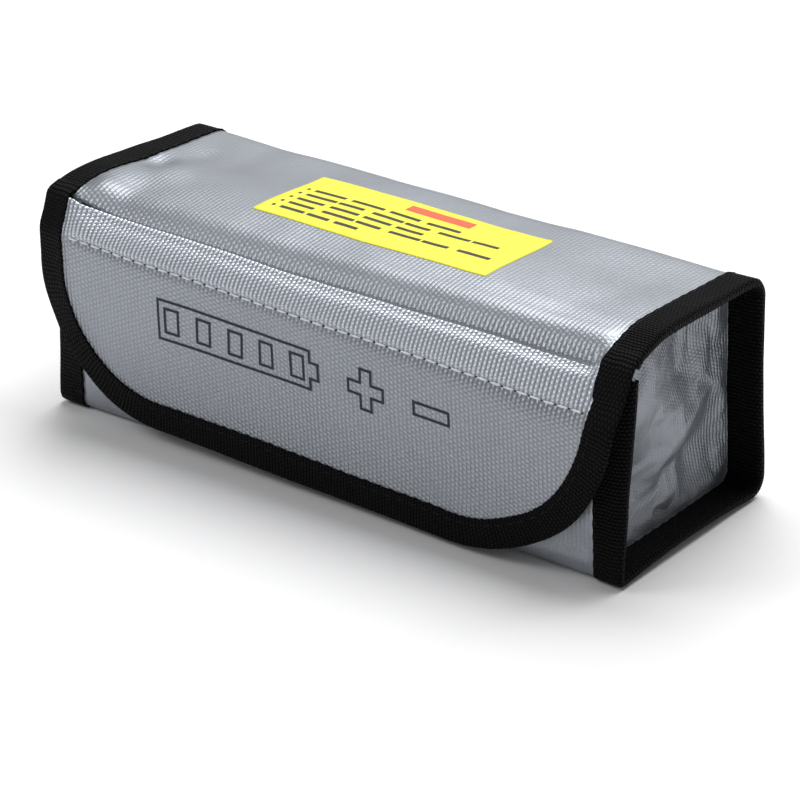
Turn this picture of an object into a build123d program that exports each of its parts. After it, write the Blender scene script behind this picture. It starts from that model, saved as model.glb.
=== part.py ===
from build123d import *
import math
import os

# Fire-resistant charging bag for model-aircraft batteries: a soft box sewn from coated glass cloth.
# One long wrap makes the front wall, base, back and roof. Two end panels are set in like trays, so that
# wrap and end panel lie face to face in a fin all round each end, and a folded woven tape binds the fin.
# The roof runs on over the front edge as a round-cornered flap, closed with hook-and-loop tape.
# Frame: +X along the bag, -Y to the front (the flap's side), +Z up. The origin is at the middle of the
# bounding box, on the surface that the bag stands on. All sizes are in millimetres.

# ---- Body ----
inner_length = 185.0  # between the visible faces of the two set-in end panels
depth = 68.0  # front wall's outer face to back wall's outer face
height = 66.0  # base's outer face to roof's outer face
corner_radius = 6.0  # outer radius of the long edges
smallest_radius = 0.2  # of a layer deep inside a long edge

# ---- Materials by the sheet ----
outer_cloth = 0.4
lining_cloth = 0.4
tape = 0.5  # binding tape
tape_leaf = 11.0  # one leaf of the folded binding tape
mouth_leaf = 8.0  # one leaf of the narrower tape over the mouth's edge
leaf_clearance = 0.3  # between an inner leaf and the panel that it faces
front_tape_gap = 8.0  # the front leg of an end binding stops this far below the roof's outer face

# ---- Flap ----
flap_bottom = 2.6  # cloth edge of the flap above the ground
flap_corner_radius = 55.4  # of the cloth's lower corners
fold_radius = 6.0  # outer radius of the fold between roof and flap
fold_gap = 0.3  # between the halves of the fold, one on each side of the joint
seam_drop = 12.2  # the facing's seam below the roof's outer face
facing_margin = 1.5  # the facing's upper edge above its seam

# ---- Hook-and-loop tape ----
strip_width = 16.0
strip_margin = 1.0  # between a strip and the binding above or below it
strip_base = 0.6  # woven ground of the tape
strip_thickness = 1.6  # with its hooks or loops
selvedge = 2.0  # bare edge that is sewn through
hook_overrun = 2.5  # the hook tape's ends past where the flap's lower corners begin to round
loop_overrun = 12.0  # the loop tape's ends past the hook tape's
hook_gap = 0.2  # between hooks and loops with the flap closed

# ---- Label and print ----
label_length = 84.0
label_width = 30.0
label_film = 0.15
label_offset = 3.4  # label's middle towards the back from the roof's middle
ink = 0.1  # printed layer's thickness
ink_line = 0.85
print_height = 13.0
print_drop = 14.9  # its middle below the facing's seam
print_gap = 10.0
print_shift = -4.0  # of the row's middle along X
cell_bars = 5
cell_bar_width = 5.6
cell_margin = 2.4
case_length = 57.0
case_radius = 2.0
terminal_length = 3.0
terminal_height = 6.0
sign_arm = 4.6

# ---- Thread ----
thread = 0.25
thread_width = 0.5
stitch_pitch = 4.4
stitch_length = 3.4
stitch_inset = 2.0  # from the edge of what is sewn

# ---- Hinge line of the flap ----
hinge_clearance = 0.5  # the flap turns about a line this far outside both outer leaves

# ---- Places that follow ----
far_away = 2 * (inner_length + depth + height)  # longer than anything here, for cutting tools
layers_in_front = 2 * strip_thickness + hook_gap + lining_cloth + outer_cloth
front_proud = layers_in_front + tape + thread
back_proud = tape + thread
body_y = (front_proud - back_proud) / 2
front_y = body_y - depth / 2
back_y = body_y + depth / 2
base_z = tape
roof_z = base_z + height
strip_bottom = flap_bottom - tape + tape_leaf + strip_margin
strip_top = strip_bottom + strip_width
mouth_low = strip_top + strip_margin
wall_top = mouth_low + mouth_leaf - tape
seam_z = roof_z - seam_drop
print_middle = seam_z - print_drop
flap_y = front_y - layers_in_front
panel_x = inner_length / 2
fin_x = panel_x + tape_leaf - tape
fold_y = flap_y + fold_radius
fold_z = roof_z - fold_radius
split_angle = 135.0
split_half = math.degrees(fold_gap / 2 / fold_radius)
wrap_layers = outer_cloth + lining_cloth
fin_layers = 2 * wrap_layers
flap_layers = outer_cloth + lining_cloth
hook_length = 2 * (fin_x - flap_corner_radius + hook_overrun)
loop_length = hook_length + 2 * loop_overrun
hinge_y = flap_y - tape - hinge_clearance
hinge_z = roof_z + tape + hinge_clearance


def area(y0, y1, z0, z1):
    """A rectangle in the section plane, from its lowest and highest corners."""
    return Pos((y0 + y1) / 2, (z0 + z1) / 2) * Rectangle(y1 - y0, z1 - z0)


def body_area(inset):
    """The body's section, filled, with its outline moved inwards."""
    radius = max(corner_radius - inset, smallest_radius)
    return Pos(body_y, base_z + height / 2) * RectangleRounded(depth - 2 * inset, height - 2 * inset, radius)


def ring(outside, inside):
    """The body's section between two insets, closed all round."""
    return body_area(outside) - body_area(inside)


def fold_sector(inside, outside, start, end):
    """The part of the fold between two angles, as insets from its outer face."""
    centre = (fold_y, fold_z)
    far = CenterArc(centre, fold_radius - outside, start, end - start)
    near = CenterArc(centre, fold_radius - inside, start, end - start)
    return make_face([far, Line(far @ 1, near @ 1), near, Line(near @ 0, far @ 0)])


def slab(section, x0, x1):
    """A section in the YZ plane drawn out along X."""
    return Pos(x0, 0, 0) * extrude(Plane.YZ * section, amount=x1 - x0)


def brick(x0, x1, y0, y1, z0, z1):
    """A box from its lowest and highest corners."""
    return slab(area(y0, y1, z0, z1), x0, x1)


def open_section(outside, inside, wall_end, with_fold):
    """The wrap's section: front wall up to wall_end, base, back and roof, and the near half of the fold."""
    mouth = area(front_y - far_away, front_y + corner_radius, wall_end, roof_z + far_away)
    section = ring(outside, inside) - mouth
    section += area(fold_y, front_y + corner_radius, roof_z - inside, roof_z - outside)
    if with_fold:
        section += fold_sector(inside, outside, 90, split_angle - split_half)
    return section


def make_wrap():
    """Front wall, base, back and roof in one strip of coated cloth."""
    return slab(open_section(0, outer_cloth, wall_top, True), -fin_x, fin_x)


def make_wrap_lining():
    """The same strip in lining cloth, ending before the fold."""
    return slab(open_section(outer_cloth, wrap_layers, wall_top, False), -fin_x, fin_x)


def make_tray(inset, thickness, face_x):
    """An end panel with its edges turned outwards into the fin. face_x is the panel's outer face."""
    rim = slab(ring(inset, inset + thickness), face_x - thickness, fin_x)
    return rim + slab(body_area(inset), face_x - thickness, face_x)


def make_end_panel():
    return make_tray(wrap_layers + lining_cloth, outer_cloth, panel_x)


def make_end_lining():
    return make_tray(wrap_layers, lining_cloth, panel_x - outer_cloth)


def make_end_binding():
    """Folded tape over the fin: up the front, under, up the back and along the roof to the fold."""
    corner_y = front_y + corner_radius
    front_end = roof_z - front_tape_gap
    open_corner = area(front_y - far_away, corner_y, front_end, roof_z + far_away)
    # Past the end panel's rounded corner the inner leaf lies straight under the roof's two layers.
    lone_y = max(front_y + corner_radius / 2, fold_y + leaf_clearance)
    upper = flap_layers + tape

    outer_leaf = ring(-tape, 0) - open_corner
    outer_leaf += area(fold_y, corner_y, roof_z, roof_z + tape)
    outer_leaf += fold_sector(0, -tape, 90, split_angle - split_half)
    inner_leaf = ring(fin_layers, fin_layers + tape) - open_corner
    inner_leaf += area(fold_y, lone_y, roof_z - upper, roof_z - flap_layers)
    inner_leaf += fold_sector(upper, flap_layers, 90, split_angle - split_half)
    web = ring(-tape, fin_layers + tape) - open_corner
    web += area(fold_y, corner_y, roof_z - fin_layers - tape, roof_z + tape)
    web += fold_sector(upper, -tape, 90, split_angle - split_half)

    binding = slab(outer_leaf, panel_x, fin_x + tape)
    binding += slab(inner_leaf, panel_x + leaf_clearance, fin_x + tape)
    return binding + slab(web, fin_x, fin_x + tape)


def make_mouth_binding():
    """Folded tape over the front wall's upper edge, between the end linings."""
    half = panel_x - outer_cloth - lining_cloth - leaf_clearance
    outside = area(front_y - tape, front_y, mouth_low, wall_top + tape)
    inside = area(front_y + wrap_layers, front_y + wrap_layers + tape, mouth_low, wall_top + tape)
    web = area(front_y - tape, front_y + wrap_layers + tape, wall_top, wall_top + tape)
    return slab(outside + inside + web, -half, half)


def flap_outline(grow):
    """The flap's cut shape, seen from the front, with straight sides that run up past the fold."""
    half = fin_x + grow
    top = roof_z + far_away
    low = flap_bottom - grow
    blank = Pos(0, (low + top) / 2) * Rectangle(2 * half, top - low)
    lower_corners = blank.vertices().sort_by(Axis.Y)[:2]
    return fillet(lower_corners, flap_corner_radius + grow)


def flap_prism(grow):
    """The cut shape drawn out along Y, for trimming what belongs to the flap."""
    return extrude(Plane.XZ * flap_outline(grow), amount=far_away, both=True)


def flap_strip(outside, inside):
    """Blank of the flap between two insets from its outer face: the far half of the fold and a flat fall."""
    section = area(flap_y + outside, flap_y + inside, flap_bottom - tape, fold_z)
    section += fold_sector(inside, outside, split_angle + split_half, 180)
    return slab(section, -fin_x - tape, fin_x + tape)


def make_flap_panel():
    return flap_strip(0, outer_cloth) & flap_prism(0)


def make_flap_facing():
    """Second layer behind the flap, from its seam down to the binding."""
    low = flap_bottom - tape
    blank = brick(-fin_x, fin_x, flap_y + outer_cloth, flap_y + flap_layers, low, seam_z + facing_margin)
    return blank & flap_prism(0)


def make_flap_binding():
    """Folded tape round the flap's free edge, from fold to fold."""
    band = flap_prism(tape) - flap_prism(tape - tape_leaf)
    edge = flap_prism(tape) - flap_prism(0)
    binding = flap_strip(-tape, 0) & band
    binding += flap_strip(flap_layers, flap_layers + tape) & band
    return binding + (flap_strip(-tape, flap_layers + tape) & edge)


def fastening_strip(length, face_y, towards):
    """Hook or loop tape on a face at face_y: a woven ground with a raised field between two bare selvedges."""
    ground_y = sorted((face_y, face_y + towards * strip_base))
    field_y = sorted((face_y, face_y + towards * strip_thickness))
    ground = brick(-length / 2, length / 2, *ground_y, strip_bottom, strip_top)
    return ground + brick(-length / 2, length / 2, *field_y, strip_bottom + selvedge, strip_top - selvedge)


def make_roof_label():
    label_y = body_y + label_offset
    low_y = label_y - label_width / 2
    return brick(-label_length / 2, label_length / 2, low_y, low_y + label_width, roof_z, roof_z + label_film)


def outlined(shape):
    """The line round a printed shape."""
    return shape - offset(shape, amount=-ink_line, kind=Kind.INTERSECTION)


def make_flap_print():
    """Printed outlines on the flap: a cell with its terminal and charge bars, a plus and a minus."""
    total = case_length + terminal_length + 2 * (print_gap + print_height)
    left = print_shift - total / 2
    case = Pos(left + case_length / 2, 0) * RectangleRounded(case_length, print_height, case_radius)
    terminal_x = left + case_length + terminal_length / 2
    terminal = Pos(terminal_x, 0) * Rectangle(terminal_length, terminal_height)
    bar_step = (case_length - 2 * cell_margin - cell_bar_width) / (cell_bars - 1)
    bar_height = print_height - 2 * cell_margin
    first_bar = left + cell_margin + cell_bar_width / 2
    bars = [Pos(first_bar + i * bar_step, 0) * Rectangle(cell_bar_width, bar_height) for i in range(cell_bars)]
    plus_x = left + case_length + terminal_length + print_gap + print_height / 2
    plus = Pos(plus_x, 0) * (Rectangle(print_height, sign_arm) + Rectangle(sign_arm, print_height))
    minus = Pos(plus_x + print_height + print_gap, 0) * Rectangle(print_height, sign_arm)
    face = Plane(origin=(0, flap_y, print_middle), x_dir=(1, 0, 0), z_dir=(0, -1, 0))
    lines = [outlined(shape) for shape in (case + terminal, *bars, plus, minus)]
    return [extrude(face * line, amount=ink) for line in lines]


def stitch(at, along, normal):
    """One stitch lying on a face: at is on the face, normal points away from it."""
    middle = Vector(at) + Vector(normal) * (thread / 2)
    return Plane(origin=middle, x_dir=along, z_dir=normal) * Box(stitch_length, thread_width, thread)


def stitch_row(start, end, normal):
    """Evenly pitched stitches on a straight line from start to end."""
    start = Vector(start)
    run = Vector(end) - start
    along = run.normalized()
    count = int((run.length - stitch_length) / stitch_pitch) + 1
    first = (run.length - (count - 1) * stitch_pitch) / 2
    return [stitch(start + along * (first + i * stitch_pitch), along, normal) for i in range(count)]


def make_end_thread():
    """Sewing through one end binding: outside on the front, back and roof, and inside on the base."""
    seam_x = panel_x + stitch_inset
    low = base_z + corner_radius
    high = roof_z - front_tape_gap
    near = front_y + corner_radius
    far = back_y - corner_radius
    inner_base = base_z + fin_layers + tape
    rows = stitch_row((seam_x, front_y - tape, low), (seam_x, front_y - tape, high), (0, -1, 0))
    rows += stitch_row((seam_x, near, inner_base), (seam_x, far, inner_base), (0, 0, 1))
    rows += stitch_row((seam_x, back_y + tape, low), (seam_x, back_y + tape, high), (0, 1, 0))
    rows += stitch_row((seam_x, far, roof_z + tape), (seam_x, near, roof_z + tape), (0, 0, 1))
    return rows


def make_mouth_thread():
    half = panel_x - tape_leaf
    row_z = mouth_low + stitch_inset
    return stitch_row((-half, front_y - tape, row_z), (half, front_y - tape, row_z), (0, -1, 0))


def make_facing_thread():
    half = panel_x - stitch_inset
    return stitch_row((-half, flap_y, seam_z), (half, flap_y, seam_z), (0, -1, 0))


def make_flap_binding_thread():
    """Sewing along the inner edge of the flap's binding, down one side, round the bottom and up the other."""
    inset = tape_leaf - tape - stitch_inset
    half = fin_x - inset
    low = flap_bottom + inset
    radius = flap_corner_radius - inset
    top = max(fold_z, low + radius + stitch_length)
    face_y = flap_y - tape
    corners = [(-half, face_y, top), (-half, face_y, low), (half, face_y, low), (half, face_y, top)]
    seam = FilletPolyline(*corners, radius=radius)
    count = int(seam.length / stitch_pitch)
    places = [(i + 0.5) / count for i in range(count)]
    below_fold = [t for t in places if seam.position_at(t).Z + stitch_length / 2 < fold_z]
    return [stitch(seam.position_at(t), seam.tangent_at(t), (0, -1, 0)) for t in below_fold]


def make_strip_thread(length, face_y, towards):
    """Two rows through a fastening strip's selvedges."""
    surface = face_y + towards * strip_base
    rows = []
    for row_z in (strip_bottom + selvedge / 2, strip_top - selvedge / 2):
        rows += stitch_row((-length / 2, surface, row_z), (length / 2, surface, row_z), (0, towards, 0))
    return rows


def mirrored(pieces):
    """The same pieces at the bag's other end."""
    return [mirror(piece, about=Plane.YZ) for piece in pieces]


def write(name, pieces):
    """One STEP file with the solids of a node."""
    solids = [solid for piece in pieces for solid in piece.solids()]
    export_step(solids[0] if len(solids) == 1 else Compound(children=solids), f"parts/{name}.step")


def main():
    os.makedirs("parts", exist_ok=True)
    facing_y = flap_y + flap_layers
    ends = {
        "end_panel": [make_end_panel()],
        "end_lining": [make_end_lining()],
        "end_binding": [make_end_binding()],
        "end_binding_thread": make_end_thread(),
    }
    nodes = {
        "shell_wrap": [make_wrap()],
        "shell_lining": [make_wrap_lining()],
        "mouth_binding": [make_mouth_binding()],
        "mouth_thread": make_mouth_thread(),
        "loop_strip": [fastening_strip(loop_length, front_y, -1)],
        "loop_strip_thread": make_strip_thread(loop_length, front_y, -1),
        "roof_label": [make_roof_label()],
        "flap_panel": [make_flap_panel()],
        "flap_facing": [make_flap_facing()],
        "flap_binding": [make_flap_binding()],
        "flap_binding_thread": make_flap_binding_thread(),
        "flap_seam_thread": make_facing_thread(),
        "flap_print": make_flap_print(),
        "hook_strip": [fastening_strip(hook_length, facing_y, 1)],
        "hook_strip_thread": make_strip_thread(hook_length, facing_y, 1),
    }
    for name, pieces in ends.items():
        nodes[f"right_{name}"] = pieces
        nodes[f"left_{name}"] = mirrored(pieces)
    for name, pieces in nodes.items():
        write(name, pieces)
    print(f"flap turns about X through y {hinge_y:.3f}, z {hinge_z:.3f}; body middle at y {body_y:.3f}")


if __name__ == "__main__":
    main()
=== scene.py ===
"""Looks of a fire-resistant battery charging bag, built round its fixed frame.

Every piece is first laid out on the plain box shape of the bag, and settle() then moves its points to where
the soft bag really comes to rest: a crowned roof, a drooping front corner, leaning fins and small dents.
"""

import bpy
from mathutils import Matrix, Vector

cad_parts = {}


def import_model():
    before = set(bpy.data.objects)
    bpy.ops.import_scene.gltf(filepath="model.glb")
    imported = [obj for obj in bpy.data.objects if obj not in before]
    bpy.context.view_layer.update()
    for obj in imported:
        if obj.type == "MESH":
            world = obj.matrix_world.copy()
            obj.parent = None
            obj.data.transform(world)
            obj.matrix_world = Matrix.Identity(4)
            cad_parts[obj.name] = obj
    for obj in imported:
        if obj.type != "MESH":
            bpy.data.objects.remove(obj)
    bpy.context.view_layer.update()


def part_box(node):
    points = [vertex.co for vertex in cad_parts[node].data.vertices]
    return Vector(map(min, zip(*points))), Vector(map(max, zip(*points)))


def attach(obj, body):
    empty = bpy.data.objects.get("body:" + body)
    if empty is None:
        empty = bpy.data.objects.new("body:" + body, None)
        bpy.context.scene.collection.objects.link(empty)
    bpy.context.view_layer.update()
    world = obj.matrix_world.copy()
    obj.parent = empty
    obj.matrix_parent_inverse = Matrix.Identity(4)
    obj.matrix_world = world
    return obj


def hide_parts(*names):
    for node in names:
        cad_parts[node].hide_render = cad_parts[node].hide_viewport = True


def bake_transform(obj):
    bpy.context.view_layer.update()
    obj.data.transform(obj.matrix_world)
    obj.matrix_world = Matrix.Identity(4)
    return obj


bl_info = {
    "name": "Charging bag",
    "version": (1, 0, 0),
    "blender": (4, 5, 0),
    "location": "3D View > Sidebar > Bag",
    "description": "Sews the cloth, bindings, threads and fastening of a battery charging bag",
    "category": "Object",
}

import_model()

import math

import bmesh
import bpy
from bpy.props import FloatProperty, FloatVectorProperty, IntProperty, PointerProperty
from mathutils import Matrix, Vector, noise

MM = 0.001
noise.seed_set(1)  # so that the cloth's waves are the same every time

# ---- Places that the frame gives ----
WRAP_LOW, WRAP_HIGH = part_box("shell_wrap")
LOOP_LOW, LOOP_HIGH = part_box("loop_strip")
HOOK_LOW, HOOK_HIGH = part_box("hook_strip")
MOUTH_LOW, MOUTH_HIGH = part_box("mouth_binding")
FLAP_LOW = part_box("flap_panel")[0]
LABEL_LOW, LABEL_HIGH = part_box("roof_label")
PRINT_LOW, PRINT_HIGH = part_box("flap_print")
BINDING_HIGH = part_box("right_end_binding")[1]
SEAM_LOW, SEAM_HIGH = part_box("flap_seam_thread")
RIM_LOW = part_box("right_end_panel")[0]

FRONT = LOOP_HIGH.y
BACK = WRAP_HIGH.y
BASE = WRAP_LOW.z
ROOF = WRAP_HIGH.z
FLAP = FLAP_LOW.y
FIN = WRAP_HIGH.x
TAPE = BINDING_HIGH.x - FIN
CLOTH = 0.4 * MM
PANEL = RIM_LOW.x + CLOTH
SEAM = (SEAM_LOW.z + SEAM_HIGH.z) / 2
WALL_TOP = MOUTH_HIGH.z - TAPE
CREASE = FLAP + 7.6 * MM  # the roof's front crease, where flap and roof meet
FOLD_LOW = ROOF - 10 * MM  # below it the cloth follows the flap alone

# ---- Sizes that every piece shares ----
CLOTH_THICKNESS = 0.35 * MM
TAPE_THICKNESS = 0.42 * MM
TAPE_LIFT = 0.28 * MM  # of a binding's outer leaf off the cloth's face
STITCH_LIFT = 0.44 * MM  # of the stitches on a binding
FINE_THREAD = 0.32 * MM
THREAD_INSET = 2 * MM  # from a binding's inner edge to its stitches
FLAP_LEAF = 9 * MM  # width of the flap's binding on each side of the cloth
TURN = 4 * MM  # the flap's cloth begins that far behind the crease
SELVEDGE_STEP = 0.12 * MM  # of a tape's edge at every rib
TAPE_STEP = 0.9 * MM  # between two rungs of a tape's mesh
TRAY_ROWS = 6  # of faces along the turned edge of an end panel


def smooth(t):
    """0 before 0, 1 after 1 and an S-curve between them."""
    t = min(max(t, 0.0), 1.0)
    return t * t * (3 - 2 * t)


def bell(distance, width):
    """1 at no distance, falling away on both sides."""
    return math.exp(-((distance / width) ** 2))


def after(place, start, span):
    """0 up to the start and 1 from a span beyond it, both in millimetres."""
    return smooth((place - start * MM) / (span * MM))


def before(place, end, span):
    """1 up to a span before the end and 0 beyond it, both in millimetres."""
    return smooth((end * MM - place) / (span * MM))


# ---- Sizes and colours a user would change ----


class ClothSettings(bpy.types.PropertyGroup):
    crown: FloatProperty(
        name="Roof crown", description="Rise of the roof's middle over the plain box",
        default=3.1 * MM, unit="LENGTH")
    droop: FloatProperty(
        name="Corner droop", description="How far the roof's front corner sinks at the right end",
        default=3.3 * MM, unit="LENGTH")
    skew: FloatProperty(
        name="Seam skew", description="Rise of the flap's seam at the left end and its fall at the right",
        default=3.0 * MM, unit="LENGTH")
    lean: FloatProperty(
        name="Fin lean", description="How far the front fins lean inwards at their tops",
        default=6.0 * MM, unit="LENGTH")
    crease: FloatProperty(
        name="Crease depth", description="Depth of the crease along the roof's front edge",
        default=2.4 * MM, unit="LENGTH")
    waviness: FloatProperty(
        name="Waviness", description="Size of the small dents and swells all over",
        default=0.5 * MM, unit="LENGTH")
    cord: FloatProperty(
        name="Cord pitch", description="Distance between the cords of the coated cloth",
        default=1.46 * MM, unit="LENGTH")
    silver: FloatVectorProperty(
        name="Coating", description="Colour of the coating",
        default=(0.380, 0.405, 0.448), size=3, min=0, max=1, subtype="COLOR")
    lining: FloatVectorProperty(
        name="Lining", description="Colour of the uncoated lining cloth",
        default=(0.52, 0.53, 0.52), size=3, min=0, max=1, subtype="COLOR")


class TapeSettings(bpy.types.PropertyGroup):
    rib: FloatProperty(
        name="Rib pitch", description="Distance between the ribs across the binding tape",
        default=1.15 * MM, unit="LENGTH")
    black: FloatVectorProperty(
        name="Tape", description="Colour of the binding tape",
        default=(0.0042, 0.0042, 0.0047), size=3, min=0, max=1, subtype="COLOR")
    pile: FloatVectorProperty(
        name="Pile", description="Colour of the hook and loop tapes",
        default=(0.014, 0.014, 0.015), size=3, min=0, max=1, subtype="COLOR")


class SewingSettings(bpy.types.PropertyGroup):
    pitch: FloatProperty(
        name="Stitch pitch", description="Distance between two needle holes",
        default=4.4 * MM, unit="LENGTH")
    length: FloatProperty(
        name="Stitch length", description="Length of thread that shows",
        default=3.7 * MM, unit="LENGTH")
    thickness: FloatProperty(
        name="Thread thickness", description="Diameter of the thread",
        default=0.62 * MM, unit="LENGTH")
    white: FloatVectorProperty(
        name="Thread", description="Colour of the flap's seam",
        default=(0.93, 0.95, 0.99), size=3, min=0, max=1, subtype="COLOR")


class PrintSettings(bpy.types.PropertyGroup):
    yellow: FloatVectorProperty(
        name="Label", description="Colour of the label's film",
        default=(0.96, 0.90, 0.05), size=3, min=0, max=1, subtype="COLOR")
    red: FloatVectorProperty(
        name="Heading bar", description="Colour of the bar at the label's top",
        default=(0.70, 0.12, 0.05), size=3, min=0, max=1, subtype="COLOR")
    ink: FloatVectorProperty(
        name="Ink", description="Colour of the print on the flap and of the label's lines",
        default=(0.006, 0.010, 0.032), size=3, min=0, max=1, subtype="COLOR")
    line: FloatProperty(
        name="Line width", description="Width of the printed outlines",
        default=0.85 * MM, unit="LENGTH")
    bars: IntProperty(
        name="Charge bars", description="Bars in the printed battery",
        default=5, min=1, max=8)


class StageSettings(bpy.types.PropertyGroup):
    lens: FloatProperty(
        name="Lens", description="Focal length of the camera in millimetres",
        default=181.8)
    azimuth: FloatProperty(
        name="Azimuth", description="Camera's angle round the bag, from the front",
        default=math.radians(39.79), subtype="ANGLE")
    elevation: FloatProperty(
        name="Elevation", description="Camera's angle above the horizon",
        default=math.radians(26.08), subtype="ANGLE")
    roll: FloatProperty(
        name="Roll", description="Camera's turn about its own line of sight",
        default=math.radians(-2.525), subtype="ANGLE")
    distance: FloatProperty(
        name="Distance", description="From the camera to the point it faces",
        default=1158.3 * MM, unit="LENGTH")
    aside: FloatProperty(
        name="Aside", description="From the bag's middle to the line of sight, to the camera's right",
        default=0.514 * MM, unit="LENGTH")
    below: FloatProperty(
        name="Below", description="From the bag's middle down to the line of sight",
        default=16.03 * MM, unit="LENGTH")
    floor: FloatVectorProperty(
        name="Floor", description="Colour of the floor",
        default=(0.93, 0.93, 0.935), size=3, min=0, max=1, subtype="COLOR")


# ---- The bag's shape ----


# Dents of the roof: place along and across, depth (below nought it is a swell) and width, in millimetres.
DENTS = (
    ((-89, 3), 1.5, 5), ((-80, -2), -0.7, 7), ((-70, 12), 0.4, 10), ((-82, 14), 0.5, 6), ((76, -8), 0.5, 11),
)


class Spot:
    """A point of the plain box, and how far it belongs to each part of the bag, from 0 to 1."""

    def __init__(self, point, on_flap):
        self.x, self.y, self.z = point
        start = (54 if on_flap else 61) * MM
        self.along = self.x / PANEL  # -1 at the left panel and 1 at the right one
        self.right = min(max(0.5 + 0.5 * self.along, 0.0), 1.0)
        self.across = min(max((BACK - self.y) / (BACK - FLAP), 0.0), 1.0)
        self.height = min(max((self.z - BASE) / (ROOF - BASE), 0.0), 1.0)
        self.roof = smooth((self.z - start) / (ROOF - start))
        self.fin = min(max((abs(self.x) - PANEL) / (FIN - PANEL), 0.0), 1.0)
        self.leaf = smooth((abs(self.x) - PANEL + 3 * MM) / (4 * MM))
        self.near_front = smooth((FRONT + 26 * MM - self.y) / (26 * MM))
        self.near_back = smooth((self.y - BACK + 24 * MM) / (24 * MM))
        self.turned = smooth((CREASE + TURN - self.y) / TURN)  # 0 where the flap leaves the roof
        self.back_lying = (0.2 + 2.5 * self.right ** 2.2) * MM


def crown_roof(spot, cloth):
    """The roof is crowned, and its front corner is rounder and lower towards the right end."""
    crown = cloth.crown * (1 - 0.15 * spot.right) * math.sin(math.pi * spot.across ** 1.3)
    least = 1.4 * MM
    droop = (least + (cloth.droop - least) * spot.right ** 0.7) * smooth((spot.across - 0.63) / 0.37)
    return Vector((0, 0, spot.roof * (crown - droop)))


def lift_corners(spot):
    """The rear edge stands up and out, its left end leans in, and the left end of the fold stands up."""
    left = after(-spot.x, 74, 26)
    rear = after(spot.y, 0, 34)
    x = 1.3 * MM * left * rear * after(spot.z, 40, 26)
    x -= 0.45 * MM * after(spot.x, 80, 14) * after(spot.y, 0, 30)
    x -= 1.0 * MM * after(-spot.x, 82, 16) * bell(spot.y - CREASE - 3 * MM, 12 * MM) * after(spot.z, 46, 17)
    y = (1.0 + 0.6 * left) * MM * after(spot.z, 30, 34) * spot.near_back
    z = 0.7 * MM * spot.roof * after(spot.y, 12, 20)
    z += 1.6 * MM * after(-spot.x, 78, 14) * bell(spot.y - CREASE - 6 * MM, 14 * MM) * after(spot.z, 50, 15)
    return Vector((x, y, z))


def slide_front(spot, cloth, on_flap):
    """The cloth has slid down the front towards the right end, and its middle has ridden up."""
    share = 1.0 if on_flap else smooth(spot.z / SEAM)
    share *= 1 - (0.25 + 0.5 * spot.right ** 3) * before(spot.z, 24, 24)
    share *= (1 - spot.roof) * smooth((spot.across - 0.8) / 0.2)
    return Vector((0, 0, share * (0.4 * MM * bell(spot.x, 50 * MM) - cloth.skew * spot.along)))


def press_crease(spot, cloth):
    """A crease runs along the roof's front edge, steep on its front side, behind a soft swell."""
    width = (2.5 if spot.y > CREASE else 2.0) * MM
    depth = cloth.crease * (0.50 + 0.85 * spot.right) * (1 - 0.85 * spot.leaf)
    swell = 0.8 * MM * (1 - spot.leaf) * bell(spot.y - CREASE - 7.5 * MM, 4 * MM)
    return Vector((0, 0, (swell - depth * bell(spot.y - CREASE, width)) * after(spot.z, 60, 4)))


def swell_back(spot):
    """The back wall swells, and the base fins bow up between their corners."""
    tall = math.sin(math.pi * spot.height)
    y = 1.3 * MM * tall * math.cos(0.5 * math.pi * min(abs(spot.along), 1)) * spot.near_back
    y += 0.1 * MM * tall * spot.fin * spot.near_back
    z = 2.3 * MM * math.sin(math.pi * spot.across) * spot.fin ** 2 * before(spot.z, 15, 15)
    return Vector((0, y, z))


def hang_flap(spot):
    """The flap's own way of hanging."""
    # The band above the seam swells and lies back, more so to the right, and the seam pulls in a little.
    y = spot.back_lying * after(spot.z, 48, 11)
    y -= 0.8 * MM * bell(spot.z - 60 * MM, 3.6 * MM) * (1 - spot.leaf)
    y += 0.5 * MM * bell(spot.z - SEAM, 1.3 * MM) * (1 - spot.leaf)
    # The lower right corner lifts off, and the left edge curls round the fin.
    y -= 1.3 * MM * before(spot.z, 24, 24) * bell(spot.x - 62 * MM, 30 * MM)
    y -= 0.7 * MM * before(spot.z, 14, 14)
    y += 1.2 * MM * after(-spot.x, 90, 14) * after(spot.z, 14, 14) * spot.turned
    # The fold's left corner keeps its square shape.
    y -= 0.3 * (spot.y - FLAP) * after(-spot.x, 76, 20) * spot.turned
    x = -0.9 * MM * after(-spot.x, 84, 20) * bell(spot.z - 38 * MM, 13 * MM) * spot.turned
    z = 0.9 * MM * after(-spot.x, 6, 50) * before(spot.z, 24, 24)
    return Vector((x, y, z))


def lean_front(spot, cloth):
    """The front fins lean in at their tops, behind the flap, and the wall bags out above the floor."""
    below_roof = spot.near_front * (1 - after(spot.z, 62, 4))
    y = spot.back_lying * spot.roof * smooth((CREASE + TURN + 16 * MM - spot.y) / (16 * MM))
    y -= 1.3 * MM * spot.fin * (0.4 + 0.6 * spot.right) * spot.near_front * (1 - after(spot.z, 0, 22))
    y += (1.2 * MM + cloth.lean * spot.fin) * spot.height ** 1.3 * below_roof
    y += 2.8 * MM * (1 - spot.fin) * after(spot.z, 50, 10) * below_roof
    y -= 1.0 * MM * bell(spot.z - 5.5 * MM, 3 * MM) * after(spot.x, 0, 60) * (1 - spot.leaf) * spot.near_front
    return Vector((0, y, 0))


def dent_roof(spot):
    """A dent sits beside the left binding, and smaller ones are scattered over the roof."""
    sunk = 0.0
    for (x, y), depth, width in DENTS:
        sunk += depth * MM * bell(math.hypot(spot.x - x * MM, spot.y - y * MM), width * MM)
    return Vector((0, 0, -sunk * spot.roof))


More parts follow.
